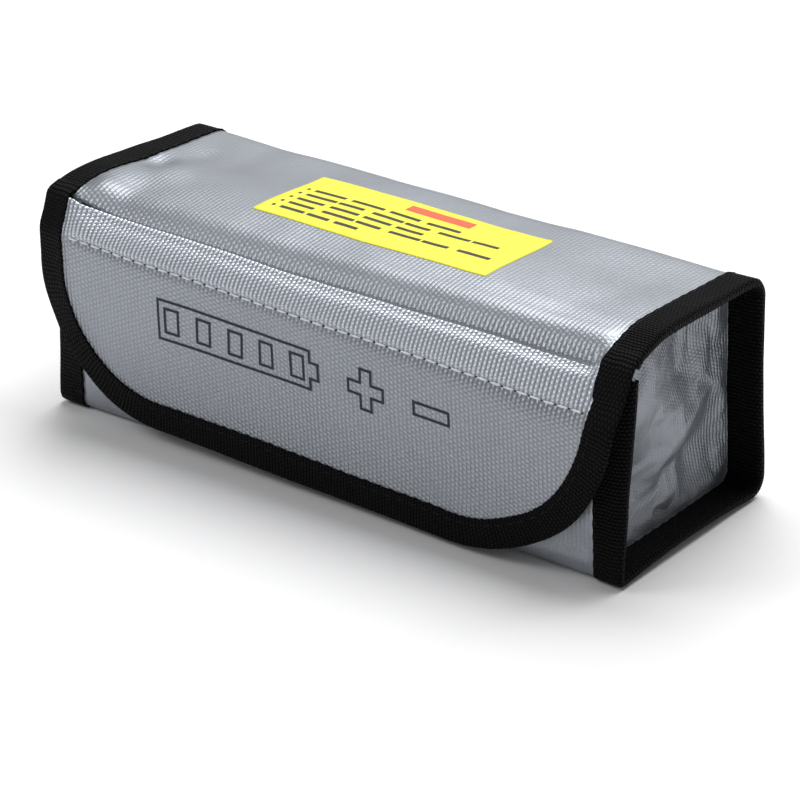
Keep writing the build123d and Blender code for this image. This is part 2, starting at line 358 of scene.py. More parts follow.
def wave_cloth(point, cloth):
    """Small swells and dents all over, dying out towards the ground."""
    swells = noise.noise_vector(point / (31 * MM) + Vector((3.1, 8.2, 5.7)))
    ripples = noise.noise_vector(point / (12 * MM) + Vector((7.7, 1.3, 4.4)))
    return cloth.waviness * after(point.z, 0, 9) * (swells + 0.3 * ripples)


def settle(place, on_flap=False):
    """Where a point of the plain box comes to rest in the soft bag."""
    cloth = bpy.context.scene.bag_cloth
    point = Vector(place)
    spot = Spot(point, on_flap)
    point += crown_roof(spot, cloth) + lift_corners(spot) + slide_front(spot, cloth, on_flap)
    point += press_crease(spot, cloth) + swell_back(spot) + dent_roof(spot) + wave_cloth(Vector(place), cloth)
    return point + (hang_flap(spot) if on_flap else lean_front(spot, cloth))


class Route:
    """Straight lines and arcs in the plane of the section, measured along the cloth from the first corner."""

    def __init__(self, corners, radii):
        self.points = [Vector(corners[0])]
        for before, corner, after, radius in zip(corners, corners[1:], corners[2:], radii):
            corner = Vector(corner)
            back = (Vector(before) - corner).normalized()
            ahead = (Vector(after) - corner).normalized()
            half = back.angle(ahead) / 2
            centre = corner + (back + ahead).normalized() * radius / math.sin(half)
            start = corner + back * radius / math.tan(half) - centre
            turn = math.copysign(math.pi - 2 * half, -back.cross(ahead))
            for step in range(13):
                angle = turn * step / 12
                self.points.append(centre + Matrix.Rotation(angle, 2) @ start)
        self.points.append(Vector(corners[-1]))
        self.runs = [0.0]
        for first, second in zip(self.points, self.points[1:]):
            self.runs.append(self.runs[-1] + (second - first).length)
        self.length = self.runs[-1]

    def at(self, run, lift=0.0):
        """The point after that run of cloth, lifted off the cloth's outer face, as (y, z)."""
        run = min(max(run, 0.0), self.length)
        low, high = 0, len(self.runs) - 1
        while high - low > 1:
            middle = (low + high) // 2
            if self.runs[middle] <= run:
                low = middle
            else:
                high = middle
        share = (run - self.runs[low]) / max(self.runs[high] - self.runs[low], 1e-9)
        place = self.points[low].lerp(self.points[high], share)
        ahead = self.heading(low).lerp(self.heading(high), share).normalized()
        return place + Vector((ahead.y, -ahead.x)) * lift

    def heading(self, index):
        """Direction of the route at one of its points, as the mean of the lines on both sides."""
        before, after = max(index - 1, 0), min(index + 1, len(self.points) - 1)
        return (self.points[after] - self.points[before]).normalized()


BODY_RADII = (2.6 * MM, 6 * MM, 5 * MM)  # at the front and rear of the base, and at the rear of the roof
LEG_TOP = ROOF - 4.4 * MM  # where the end bindings are cut off, under the flap
WRAP_ROUTE = Route([(FRONT, WALL_TOP), (FRONT, BASE), (BACK, BASE), (BACK, ROOF), (CREASE, ROOF),
                    (CREASE - 1.4 * MM, ROOF - 2.1 * MM)], BODY_RADII + (2.5 * MM,))
BINDING_ROUTE = Route([(FRONT, LEG_TOP), (FRONT, BASE), (BACK, BASE), (BACK, ROOF), (CREASE + TURN, ROOF),
                       (CREASE + 1 * MM, ROOF - 0.5 * MM)], BODY_RADII + (1 * MM,))
FLAP_ROUTE = Route([(CREASE + TURN, ROOF), (CREASE, ROOF), (FLAP, SEAM + 0.5 * MM), (FLAP, -20 * MM)],
                   (2.5 * MM, 9 * MM))
WRAP_CUT = WRAP_ROUTE.length - 2.1 * MM  # length of the wrap's cloth, which ends behind the flap's band
BAND_NORMAL = Vector((SEAM - ROOF, CREASE - FLAP)).normalized()  # of the flap's band, as (y, z)


def on_wrap(x, run, lift=0.0):
    """A point on the wrap, given along the bag, along the cloth from the mouth, and off its outer face.

    A run below nought is a place above the mouth's edge.
    """
    y, z = WRAP_ROUTE.at(run, lift)
    return settle((x, y, z - min(run, 0.0)))


def on_fin(x, run, lift=0.0):
    """A point on an end fin, along the cloth from the top of its front leg."""
    y, z = BINDING_ROUTE.at(run, lift)
    return settle((x, y, z))


def on_flap(x, run, lift=0.0):
    """A point on the flap, along the cloth from the roof's crease."""
    y, z = FLAP_ROUTE.at(run, lift)
    return settle((x, y, z), on_flap=True)


def fall_to(z):
    """Run of cloth on the flap from the roof's crease down to a height."""
    return FLAP_ROUTE.length - (z + 20 * MM)


# ---- Working with meshes ----


def finish_piece(bm, name, body, materials, replaced=(), shade=True):
    """A bmesh becomes an object at the origin that rides on a body."""
    mesh = bpy.data.meshes.new(name)
    bm.to_mesh(mesh)
    bm.free()
    if shade:
        mesh.shade_smooth()
    for material in materials:
        mesh.materials.append(material)
    piece = bpy.data.objects.new(name, mesh)
    bpy.context.scene.collection.objects.link(piece)
    if body:
        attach(piece, body)
    if replaced:
        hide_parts(*replaced)
    return piece


def thicken(piece, thickness, side=-1.0):
    """Gives a sheet its thickness. side is -1 behind the face, 1 in front and 0 on both sides."""
    solid = piece.modifiers.new("thickness", "SOLIDIFY")
    solid.thickness = thickness
    solid.offset = side
    solid.use_even_offset = False
    return solid


def turn_outwards(bm, outward):
    """Turns every face round if the middle one looks away from the outward direction."""
    bm.faces.ensure_lookup_table()
    bm.normal_update()
    if bm.faces[len(bm.faces) // 2].normal.dot(outward) < 0:
        bmesh.ops.reverse_faces(bm, faces=bm.faces)


def patch(surface, spans, rungs, place, outward):
    """A grid of cloth. place turns (0..1, 0..1) into (x, run), and surface lays that on the bag."""
    bm = bmesh.new()
    uv = bm.loops.layers.uv.new("cloth")
    bmesh.ops.create_grid(bm, x_segments=spans, y_segments=rungs, size=0.5)
    flat = {}
    for vert in bm.verts:
        flat[vert] = place(vert.co.x + 0.5, vert.co.y + 0.5)
    for face in bm.faces:
        for loop in face.loops:
            x, run = flat[loop.vert]
            loop[uv].uv = (x, -run)
    for vert in bm.verts:
        vert.co = surface(*flat[vert])
    turn_outwards(bm, Vector(outward))
    return bm


def tape_round(surface, path, outward, outer, inner, extra=0.0):
    """Folded tape along a path of (x, run, edgeward x, edgeward run, leaf) on a surface.

    The path is where the tape's leaves begin. leaf is their width there, and outer and inner are the lifts
    of the two leaves off the surface. The inner leaf is wider by extra. The outer leaf looks outward.
    """
    rib = bpy.context.scene.bag_tape.rib
    half = (outer - inner) / 2
    middle = (outer + inner) / 2
    turn = math.pi * half
    around = 20
    lengths = [0.0]
    for first, second in zip(path, path[1:]):
        lengths.append(lengths[-1] + math.dist(first[:2], second[:2]))

    def across(share, leaf):
        """(distance from the leaf's start, lift) at a share of the tape's width."""
        gone = share * (2 * leaf + turn - 2 * half + extra)
        flat = leaf - half
        if gone < flat:
            return gone, outer
        if gone < flat + turn:
            angle = (gone - flat) / half
            return flat + half * math.sin(angle), middle + half * math.cos(angle)
        return flat - (gone - flat - turn), inner

    bm = bmesh.new()
    uv = bm.loops.layers.uv.new("cloth")
    bmesh.ops.create_grid(bm, x_segments=len(path) - 1, y_segments=around, size=0.5)
    where = {}
    for vert in bm.verts:
        where[vert] = (round((vert.co.x + 0.5) * (len(path) - 1)), 0.5 - vert.co.y)
    for face in bm.faces:
        for loop in face.loops:
            index, share = where[loop.vert]
            loop[uv].uv = (lengths[index], share * (2 * path[index][4] + turn))
    for vert in bm.verts:
        index, share = where[vert]
        x, run, edge_x, edge_run, leaf = path[index]
        reach, lift = across(share, leaf)
        # The leaf's selvedge steps in and out a little with every rib.
        if share in (0.0, 1.0):
            reach += SELVEDGE_STEP * math.cos(math.tau * lengths[index] / rib)
        vert.co = surface(x + edge_x * reach, run + edge_run * reach, lift)
    turn_tape_outwards(bm, where, outward)
    return bm, lengths[-1]


def turn_tape_outwards(bm, where, outward):
    """Turns a tape's faces so that its outer leaf looks outwards at the middle of its length."""
    bm.normal_update()
    middle = max(index for index, share in where.values()) // 2
    for vert in bm.verts:
        if where[vert][0] == middle and 0.05 < where[vert][1] < 0.15:
            if vert.normal.dot(Vector(outward)) < 0:
                bmesh.ops.reverse_faces(bm, faces=bm.faces)
            return


def stitch_places(surface, path, lift, pitch):
    """Frames of the stitches along a path of (x, run): middle, direction and outward normal."""
    lengths = [0.0]
    for first, second in zip(path, path[1:]):
        lengths.append(lengths[-1] + math.dist(first, second))
    count = int(lengths[-1] / pitch)
    margin = (lengths[-1] - count * pitch) / 2
    places = []
    index = 0
    for number in range(count):
        gone = margin + (number + 0.5) * pitch
        while lengths[index + 1] < gone:
            index += 1
        share = (gone - lengths[index]) / (lengths[index + 1] - lengths[index])
        (x0, run0), (x1, run1) = path[index], path[index + 1]
        x, run = x0 + (x1 - x0) * share, run0 + (run1 - run0) * share
        step = 0.5 * MM / math.dist((x0, run0), (x1, run1))
        middle = surface(x, run, lift)
        ahead = surface(x + (x1 - x0) * step, run + (run1 - run0) * step, lift) - middle
        above = surface(x, run, lift + 0.5 * MM) - middle
        places.append((middle, ahead.normalized(), above.normalized()))
    return places


ROUND_ENDS = Matrix.Rotation(math.pi / 2, 4, "Y")  # a sphere's poles lie at a stitch's two ends


def sew(bm, places, length, thickness, material=0, shift=0.0):
    """A row of rounded stitches, a little flatter than they are wide, each moved ahead by shift."""
    for middle, ahead, above in places:
        side = above.cross(ahead).normalized()
        above = ahead.cross(side)
        turned = Matrix((ahead, side, above)).transposed().to_4x4()
        sized = Matrix.Diagonal((length / 2, thickness / 2, thickness / 2.4, 1))
        whole = Matrix.Translation(middle + ahead * shift) @ turned @ sized
        made = bmesh.ops.create_uvsphere(bm, u_segments=8, v_segments=6, radius=1, matrix=whole @ ROUND_ENDS)
        for face in {face for vert in made["verts"] for face in vert.link_faces}:
            face.material_index = material


# ---- Materials ----


class Recipe:
    """A material's node tree, with short ways to add nodes and join them."""

    def __init__(self, name):
        self.material = bpy.data.materials.get(name) or bpy.data.materials.new(name)
        self.material.use_nodes = True
        self.tree = self.material.node_tree
        self.tree.nodes.clear()
        self.shader = self.node("ShaderNodeBsdfPrincipled")
        output = self.node("ShaderNodeOutputMaterial")
        self.tree.links.new(self.shader.outputs[0], output.inputs["Surface"])

    def node(self, kind, **values):
        """A new node with its options set."""
        made = self.tree.nodes.new(kind)
        for key, value in values.items():
            setattr(made, key, value)
        return made

    def feed(self, node, name, value):
        """Sets a socket, or links it when value is another node's output."""
        if isinstance(value, bpy.types.NodeSocket):
            self.tree.links.new(value, node.inputs[name])
        else:
            node.inputs[name].default_value = value

    def calc(self, operation, first, second=0.0, third=0.0):
        """Result of a sum, where each of the three values may be a number or another node's output."""
        made = self.node("ShaderNodeMath", operation=operation)
        for index, value in enumerate((first, second, third)):
            self.feed(made, index, value)
        return made.outputs[0]

    def blend(self, factor, first, second):
        """From the first colour at a factor of 0 to the second at 1."""
        made = self.node("ShaderNodeMix", data_type="RGBA")
        self.feed(made, "Factor", factor)
        for socket, value in ((6, first), (7, second)):  # the node's two sockets for colours
            if isinstance(value, tuple):
                value += (1,)
            self.feed(made, socket, value)
        return made.outputs[2]

    def mottle(self, scale, detail=3.0):
        """Cloudy patches from 0 to 1."""
        made = self.node("ShaderNodeTexNoise")
        made.inputs["Scale"].default_value = scale
        made.inputs["Detail"].default_value = detail
        self.tree.links.new(self.place(), made.inputs["Vector"])
        return made.outputs["Fac"]

    def place(self):
        """The point's place on the object, in metres."""
        return self.node("ShaderNodeTexCoord").outputs["Object"]

    def cloth(self):
        """(along the bag, along the cloth) in metres, from the piece's own map."""
        made = self.node("ShaderNodeUVMap", uv_map="cloth")
        split = self.node("ShaderNodeSeparateXYZ")
        self.tree.links.new(made.outputs[0], split.inputs[0])
        return split.outputs[0], split.outputs[1]

    def weave(self, over, along, pitch, float_pitch):
        """Height of staggered floats that are long in one direction, from 0 to 1."""
        columns = self.calc("DIVIDE", over, pitch)
        odd = self.calc("PINGPONG", self.calc("FLOOR", columns), 1.0)
        rows = self.calc("ADD", self.calc("DIVIDE", along, float_pitch), self.calc("MULTIPLY", odd, 0.5))
        ridge = self.calc("ABSOLUTE", self.calc("SINE", self.calc("MULTIPLY", columns, math.pi)))
        knuckle = self.calc("ABSOLUTE", self.calc("SINE", self.calc("MULTIPLY", rows, math.pi)))
        float_height = self.calc("MULTIPLY_ADD", self.calc("POWER", knuckle, 0.7), 0.8, 0.2)
        return self.calc("MULTIPLY", ridge, float_height)

    def ramp(self, value, start, end, low, high):
        """low before start, high after end, and an even slope between them."""
        made = self.node("ShaderNodeMapRange", interpolation_type="SMOOTHSTEP")
        for name, number in (("From Min", start), ("From Max", end), ("To Min", low), ("To Max", high)):
            made.inputs[name].default_value = number
        self.tree.links.new(value, made.inputs["Value"])
        return made.outputs["Result"]

    def bump(self, height, distance, strength=1.0, under=None):
        """Relief of a height from 0 to 1 times the distance, over the relief under it."""
        made = self.node("ShaderNodeBump")
        made.inputs["Strength"].default_value = strength
        made.inputs["Distance"].default_value = distance
        self.tree.links.new(height, made.inputs["Height"])
        if under:
            self.tree.links.new(under, made.inputs["Normal"])
        return made.outputs[0]

    def set(self, **values):
        """Feeds the shader's sockets, and returns the finished material."""
        names = {
            "color": "Base Color", "metallic": "Metallic", "roughness": "Roughness", "normal": "Normal",
            "sheen": "Sheen Weight", "sheen_roughness": "Sheen Roughness", "specular": "Specular IOR Level",
        }
        for key, value in values.items():
            self.feed(self.shader, names[key], value)
        return self.material


def coated_cloth(name, flat_from=None, flat_to=None, tight=0.5, loose=1.0, painted_band_light=1.0, cord=1.0,
                 tone=1.0):
    """Silver coating over a corded glass cloth, whose cords stand out less where the cloth is pulled tight.

    Along the cloth the relief goes from loose to tight between the first of the two runs and the second.
    painted_band_light is how much brighter the coating is painted where the cloth is loose, on the flap's
    band: painted light, as the band lies back towards the lamps. cord scales the pitch of the cords, and tone
    the coating's colour.
    """
    cloth = bpy.context.scene.bag_cloth
    recipe = Recipe(name)
    over, along = recipe.cloth()
    weave = recipe.weave(over, along, cloth.cord * cord, cloth.cord * cord)
    silver = tuple(value * tone for value in cloth.silver)
    # Painted light: where the cloth is loose, on the flap's band, the cords' tops are painted brighter.
    painted_lit_silver = tuple(value * painted_band_light for value in silver)
    if flat_from is None:
        weave = recipe.calc("MULTIPLY", weave, tight)
    else:
        run = recipe.calc("MULTIPLY", along, -1.0)
        (start, low), (end, high) = sorted([(flat_from, loose), (flat_to, tight)])
        relief = recipe.ramp(run, start, end, low, high)
        weave = recipe.calc("MULTIPLY", weave, relief)
        painted_lit_silver = recipe.blend(recipe.ramp(relief, tight, loose, 0.0, 1.0), silver, painted_lit_silver)
    grain = recipe.mottle(2600, 2)
    patches = recipe.mottle(38, 3)
    # Painted shade: the coating is painted darker in the gaps between the cords, where the bump casts no
    # shadow.
    gap_shade = tuple(value * 0.66 for value in silver)
    color = recipe.blend(recipe.calc("ADD", weave, 0.12), gap_shade, painted_lit_silver)
    worn = tuple(value * 1.12 for value in silver)
    color = recipe.blend(recipe.calc("MULTIPLY", patches, 0.35), color, worn)
    fine = recipe.bump(grain, 0.02 * MM, 0.6)
    normal = recipe.bump(weave, 0.24 * MM, 1.0, fine)
    roughness = recipe.calc("MULTIPLY_ADD", patches, 0.14, 0.30)
    return recipe.set(color=color, metallic=0.65, roughness=roughness, normal=normal, specular=0.5)


def lining_cloth():
    """Dull uncoated glass cloth."""
    cloth = bpy.context.scene.bag_cloth
    recipe = Recipe("lining_cloth")
    over, along = recipe.cloth()
    weave = recipe.weave(over, along, 0.9 * MM, 0.9 * MM)
    pale = tuple(cloth.lining)
    # Painted shade: the cloth is painted darker between its cords.
    tone = recipe.blend(weave, tuple(value * 0.6 for value in pale), pale)
    normal = recipe.bump(weave, 0.1 * MM, 1.0, recipe.bump(recipe.mottle(3000, 2), 0.02 * MM))
    return recipe.set(color=tone, roughness=0.85, normal=normal, sheen=0.15, sheen_roughness=0.5)


def binding_tape():
    """Black ribbed tape whose ribs lean one way and then the other, like a herringbone."""
    tape = bpy.context.scene.bag_tape
    recipe = Recipe("binding_tape")
    along, over = recipe.cloth()
    lean = recipe.calc("MULTIPLY", recipe.calc("PINGPONG", over, 3.2 * MM), 0.08)
    ribs = recipe.weave(recipe.calc("ADD", along, lean), over, tape.rib, 1.25 * MM)
    fuzz = recipe.mottle(4200, 3)
    black = tuple(tape.black)
    # Painted highlight and shade: the ribs' tops are painted lighter and the furrows between them darker.
    tone = recipe.blend(recipe.calc("POWER", ribs, 2.0), tuple(value * 0.1 for value in black),
                        tuple(value * 3.0 for value in black))
    tone = recipe.blend(recipe.calc("MULTIPLY", fuzz, 0.15), tone, tuple(value * 3.0 for value in black))
    normal = recipe.bump(ribs, 0.5 * MM, 1.0, recipe.bump(fuzz, 0.03 * MM, 0.8))
    return recipe.set(color=tone, roughness=0.55, normal=normal, specular=0.05)


def spun_thread(name, color):
    """Twisted sewing thread."""
    recipe = Recipe(name)
    twist = recipe.mottle(5200, 2)
    tone = recipe.blend(twist, tuple(value * 0.85 for value in color), color)
    return recipe.set(color=tone, roughness=0.6, normal=recipe.bump(twist, 0.05 * MM), specular=0.2)


def needle_hole_shade():
    """Dark patch at each needle hole: painted shade of the dip where the needle went through."""
    recipe = Recipe("needle_hole_shade")
    shade = recipe.mottle(4000, 2)
    return recipe.set(color=recipe.blend(shade, (0.015, 0.017, 0.02), (0.05, 0.055, 0.065)), roughness=0.8)


def pile(name, scale, depth):
    """Hooks or loops, seen as a dense nap."""
    tape = bpy.context.scene.bag_tape
    recipe = Recipe(name)
    cells = recipe.node("ShaderNodeTexVoronoi", feature="F1")
    cells.inputs["Scale"].default_value = scale
    recipe.tree.links.new(recipe.place(), cells.inputs["Vector"])
    tops = recipe.calc("SUBTRACT", 1.0, recipe.calc("MULTIPLY", cells.outputs["Distance"], 1.4))
    fuzz = recipe.mottle(5200, 3)
    black = tuple(tape.pile)
    # Painted shade: the nap is painted lighter on its tufts' tops and darker in the hollows between them.
    tone = recipe.blend(tops, tuple(value * 0.3 for value in black), tuple(value * 2.6 for value in black))
    normal = recipe.bump(tops, depth, 1.0, recipe.bump(fuzz, 0.06 * MM))
    return recipe.set(color=tone, roughness=0.75, normal=normal, sheen=0.3, sheen_roughness=0.4)


def printed(name, color, rough):
    """Ink or film that follows the cloth below it."""
    cloth = bpy.context.scene.bag_cloth
    recipe = Recipe(name)
    over, along = recipe.cloth()
    weave = recipe.weave(over, along, cloth.cord, cloth.cord)
    wear = recipe.mottle(900, 4)
    worn = tuple(min(value * 1.25 + 0.01, 1) for value in color)
    tone = recipe.blend(recipe.calc("MULTIPLY", wear, 0.25), color, worn)
    normal = recipe.bump(weave, 0.035 * MM)
    return recipe.set(color=tone, roughness=rough, normal=normal, specular=0.4)


def floor_paint():
    """Plain pale floor."""
    stage = bpy.context.scene.bag_stage
    recipe = Recipe("floor_paint")
    paint = tuple(stage.floor)
    tone = recipe.blend(recipe.mottle(3, 2), paint, tuple(value * 0.995 for value in paint))
    return recipe.set(color=tone, roughness=0.9, specular=0.1)


# ---- Pieces ----


class BAG_OT_wrap(bpy.types.Operator):
    """Sews the wrap: front wall, base, back and roof in one strip of coated cloth, and its lining"""

    bl_idname = "bag.wrap"
    bl_label = "Wrap and lining"

    def execute(self, context):
        half = FIN - 0.2 * MM
        silver = coated_cloth("coated_cloth", WRAP_CUT - 0.5 * MM, WRAP_CUT - 8 * MM, 0.26, 0.6)
        self.strip("wrap_cloth", "shell_wrap", half, 0.0, silver)
        self.strip("wrap_lining_cloth", "shell_lining", half - 0.3 * MM, -0.45 * MM, lining_cloth())
        return {"FINISHED"}

    def strip(self, name, node, half, lift, material):
        """One cloth from the mouth round the bag to the crease."""
        bm = patch(
            lambda x, run: on_wrap(x, run, lift), 150, 190,
            lambda a, b: ((2 * a - 1) * (half - tucked(WRAP_CUT * b)), WRAP_CUT * (1 - b)), (0, 1, 0))
        piece = finish_piece(bm, name, "bag", [material], [node])
        thicken(piece, CLOTH_THICKNESS)


def tucked(gone):
    """How far the wrap's edge is tucked under the tapes, at a run of cloth back from the crease."""
    return 4 * MM * before(gone, 12, 8)


class BAG_OT_flap(bpy.types.Operator):
    """Cuts the flap with its two rounded corners, and its facing behind the seam"""

    bl_idname = "bag.flap"
    bl_label = "Flap and facing"

    def execute(self, context):
        half = FIN - 0.1 * MM
        low = FLAP_LOW.z + 0.1 * MM
        flap = patch(
            on_flap, 170, 76, lambda a, b: flap_pattern(a, 1 - b, half, low, TURN - 0.2 * MM), (0, -1, 0))
        seam = fall_to(SEAM)
        # Painted light: the band above the seam is painted 1.95 times brighter than the flap below it.
        silver = coated_cloth("coated_cloth_flap_painted_light", seam - 2 * MM, seam + 1 * MM, 1.0, 1.15, 1.95)
        piece = finish_piece(flap, "flap_cloth", None, [silver], ["flap_panel"])
        thicken(piece, CLOTH_THICKNESS)
        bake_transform(piece)

        start = fall_to(SEAM + 1.4 * MM)
        facing = patch(
            lambda x, run: on_flap(x, run, -0.45 * MM), 150, 60,
            lambda a, b: flap_pattern(a, 1 - b, half - 0.3 * MM, low + 0.3 * MM, start), (0, 1, 0))
        piece = finish_piece(facing, "flap_facing_cloth", "flap", [lining_cloth()], ["flap_facing"])
        thicken(piece, CLOTH_THICKNESS, 1.0)
        return {"FINISHED"}


def corner_radius(x):
    """Radius of the flap's lower corner on that side, at the cloth's edge."""
    return (55.4 if x > 0 else 43.0) * MM


def outline_fall(x, half, low):
    """Run of cloth from the crease down to the flap's cut edge at x."""
    radius = corner_radius(x) - (FIN - half)
    inward = abs(x) - (half - radius)
    if inward <= 0:
        return fall_to(low)
    return fall_to(low + radius - math.sqrt(max(radius ** 2 - inward ** 2, 0)))


def flap_pattern(a, b, half, low, start):
    """(x, run) on the flap at shares a along it and b down it, with columns gathered at its round corners."""
    side = 2 * a - 1
    radius = corner_radius(side) - (FIN - half)
    straight = half - radius
    share = straight / (straight + radius)
    if abs(side) <= share:
        x = abs(side) * (straight + radius)
    else:
        x = straight + radius * math.sin((abs(side) - share) / (1 - share) * math.pi / 2)
    x = math.copysign(x, side)
    end = max(outline_fall(x, half, low), start + 1 * MM)
    return x, start + b * (end - start)


class BAG_OT_ends(bpy.types.Operator):
    """Makes the two set-in end panels with their linings, wrinkled by a short cloth simulation"""

    bl_idname = "bag.ends"
    bl_label = "End panels"

    def execute(self, context):
        # Painted shade: the end panels' coating is painted darker, at 0.86 of its colour, as the ends lie
        # away from the left light.
        silver = coated_cloth("coated_cloth_end_painted_shade", tight=0.45, cord=0.72, tone=0.86)
        for side, name in ((1, "right"), (-1, "left")):
            panel = tray(side, -1.42 * MM, FIN - 0.3 * MM, silver, f"{name}_panel_cloth")
            wrinkle(panel, side)
            lining = tray(side, -0.95 * MM, FIN - 0.5 * MM, lining_cloth(), f"{name}_lining_cloth")
            for vert, outer in zip(lining.data.vertices, panel.data.vertices):
                if abs(vert.co.x) < PANEL + 0.1 * MM:
                    vert.co.x = outer.co.x - side * 0.9 * MM
            settle_piece(panel)
            settle_piece(lining)
            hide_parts(f"{name}_end_panel")
            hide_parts(f"{name}_end_lining")
            for piece in (panel, lining):
                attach(piece, "bag")
                thicken(piece, CLOTH_THICKNESS)
        return {"FINISHED"}


BAND_GAP = 1.7 * MM  # between the flap's band and an end piece behind it


def tray(side, lift, reach, material, name):
    """A panel across the end of the section, with its edges turned outwards along the fin up to x = reach.

    lift is how far its edges lie off the wrap's outer face.
    """
    low, high = Vector((FRONT - lift, BASE - lift)), Vector((BACK + lift, ROOF + lift))
    centre, size = (low + high) / 2, (high - low) / 2
    bm = bmesh.new()
    uv = bm.loops.layers.uv.new("cloth")
    bmesh.ops.create_grid(bm, x_segments=52, y_segments=52, size=1)
    for vert in bm.verts:
        place = Vector((vert.co.x * size.x, vert.co.y * size.y))
        front, under = place.x < 0, place.y < 0
        round_corner = BODY_RADII[0 if front and under else 1 if under else 2] + lift
        corner = Vector([max(abs(place[i]) - size[i] + round_corner, 0) for i in (0, 1)])
        if corner.x > 0 and corner.y > 0:
            corner *= max(corner.x, corner.y) / corner.length
            place.x = math.copysign(size.x - round_corner + corner.x, place.x)
            place.y = math.copysign(size.y - round_corner + corner.y, place.y)
        place += centre
        past = (place - Vector((CREASE, ROOF))).dot(BAND_NORMAL) + BAND_GAP - lift
        if past > 0 and place.y > SEAM - 4 * MM:
            place -= BAND_NORMAL * past
        vert.co = (side * PANEL, place.x, place.y)
    edges = [edge for edge in bm.edges if edge.is_boundary]
    for step in range(TRAY_ROWS):
        made = bmesh.ops.extrude_edge_only(bm, edges=edges)["geom"]
        edges = [item for item in made if isinstance(item, bmesh.types.BMEdge) and item.is_boundary]
        verts = [item for item in made if isinstance(item, bmesh.types.BMVert)]
        bmesh.ops.translate(bm, verts=verts, vec=(side * (reach - PANEL) / TRAY_ROWS, 0, 0))
    for face in bm.faces:
        for loop in face.loops:
            x, y, z = loop.vert.co
            turned_out = 0.7 * (abs(x) - PANEL)
            loop[uv].uv = (y + turned_out, z + turned_out)
    bmesh.ops.recalc_face_normals(bm, faces=bm.faces)
    turn_outwards(bm, Vector((side, 0, 0)))
    return finish_piece(bm, name, None, [material])


def settle_piece(piece):
    """Moves an end piece made on the plain box to its place on the soft bag, behind the flap's band."""
    for vert in piece.data.vertices:
        behind = after(vert.co.z, 60, 3) * smooth((CREASE + 10 * MM - vert.co.y) / (8 * MM))
        vert.co = settle(vert.co).lerp(settle(vert.co, on_flap=True), behind)


# Dimples of the end panels: place from the middle across and up, depth outwards, and width, in millimetres.
DIMPLES = {
    1: (((-14, -14), -3.4, 9), ((12, 18), -2.8, 10), ((8, -4), 2.2, 9), ((16, -16), -2.2, 8),
        ((-10, 12), 1.6, 12)),
    -1: (((12, -12), -3.0, 10), ((-14, 14), -2.4, 9), ((-4, -2), 2.0, 10), ((14, 12), 1.4, 9)),
}
FRAMES = 25  # of the cloth simulation


def wrinkle(piece, side):
    """Lets an end panel that was cut a little large buckle between its sewn edges."""
    face = side * PANEL
    held = piece.vertex_groups.new(name="held")
    centre = Vector(((FRONT + BACK) / 2, (BASE + ROOF) / 2))
    half = Vector(((BACK - FRONT) / 2, (ROOF - BASE) / 2))
    for vert in piece.data.vertices:
        x, y, z = vert.co
        inside = min(half.x - abs(y - centre.x), half.y - abs(z - centre.y)) - 1.5 * MM
        if abs(x - face) > 0.1 * MM or inside < 1.2 * MM:
            held.add([vert.index], 1.0, "REPLACE")
            continue
        # Shallow dimples and a diagonal crease give the buckling its first direction.
        push = 0.0
        for (dy, dz), depth, width in DIMPLES[side]:
            away = Vector((y - centre.x - dy * MM, z - centre.y - dz * MM)).length
            push += depth * MM * bell(away, width * MM)
        push += 0.5 * MM * noise.noise(Vector((side * 4, y, z)) / (9 * MM))
        vert.co.x += side * push * smooth(inside / (8 * MM))
    scene = bpy.context.scene
    cloth = piece.modifiers.new("cloth", "CLOTH")
    cloth.settings.vertex_group_mass = "held"
    cloth.settings.quality = 7
    cloth.settings.mass = 0.3
    cloth.settings.tension_stiffness = 25
    cloth.settings.compression_stiffness = 25
    cloth.settings.shear_stiffness = 12
    cloth.settings.bending_stiffness = 0.06
    cloth.settings.tension_damping = 15
    cloth.settings.compression_damping = 15
    cloth.settings.shear_damping = 15
    cloth.settings.air_damping = 4
    cloth.settings.shrink_min = -0.027
    cloth.settings.effector_weights.gravity = 0
    cloth.collision_settings.use_collision = False
    for number in range(1, FRAMES + 1):
        scene.frame_set(number)
    settled = bpy.data.meshes.new_from_object(piece.evaluated_get(bpy.context.evaluated_depsgraph_get()))
    for vert, moved in zip(piece.data.vertices, settled.vertices):
        vert.co = moved.co
    bpy.data.meshes.remove(settled)
    piece.modifiers.remove(cloth)
    scene.frame_set(1)


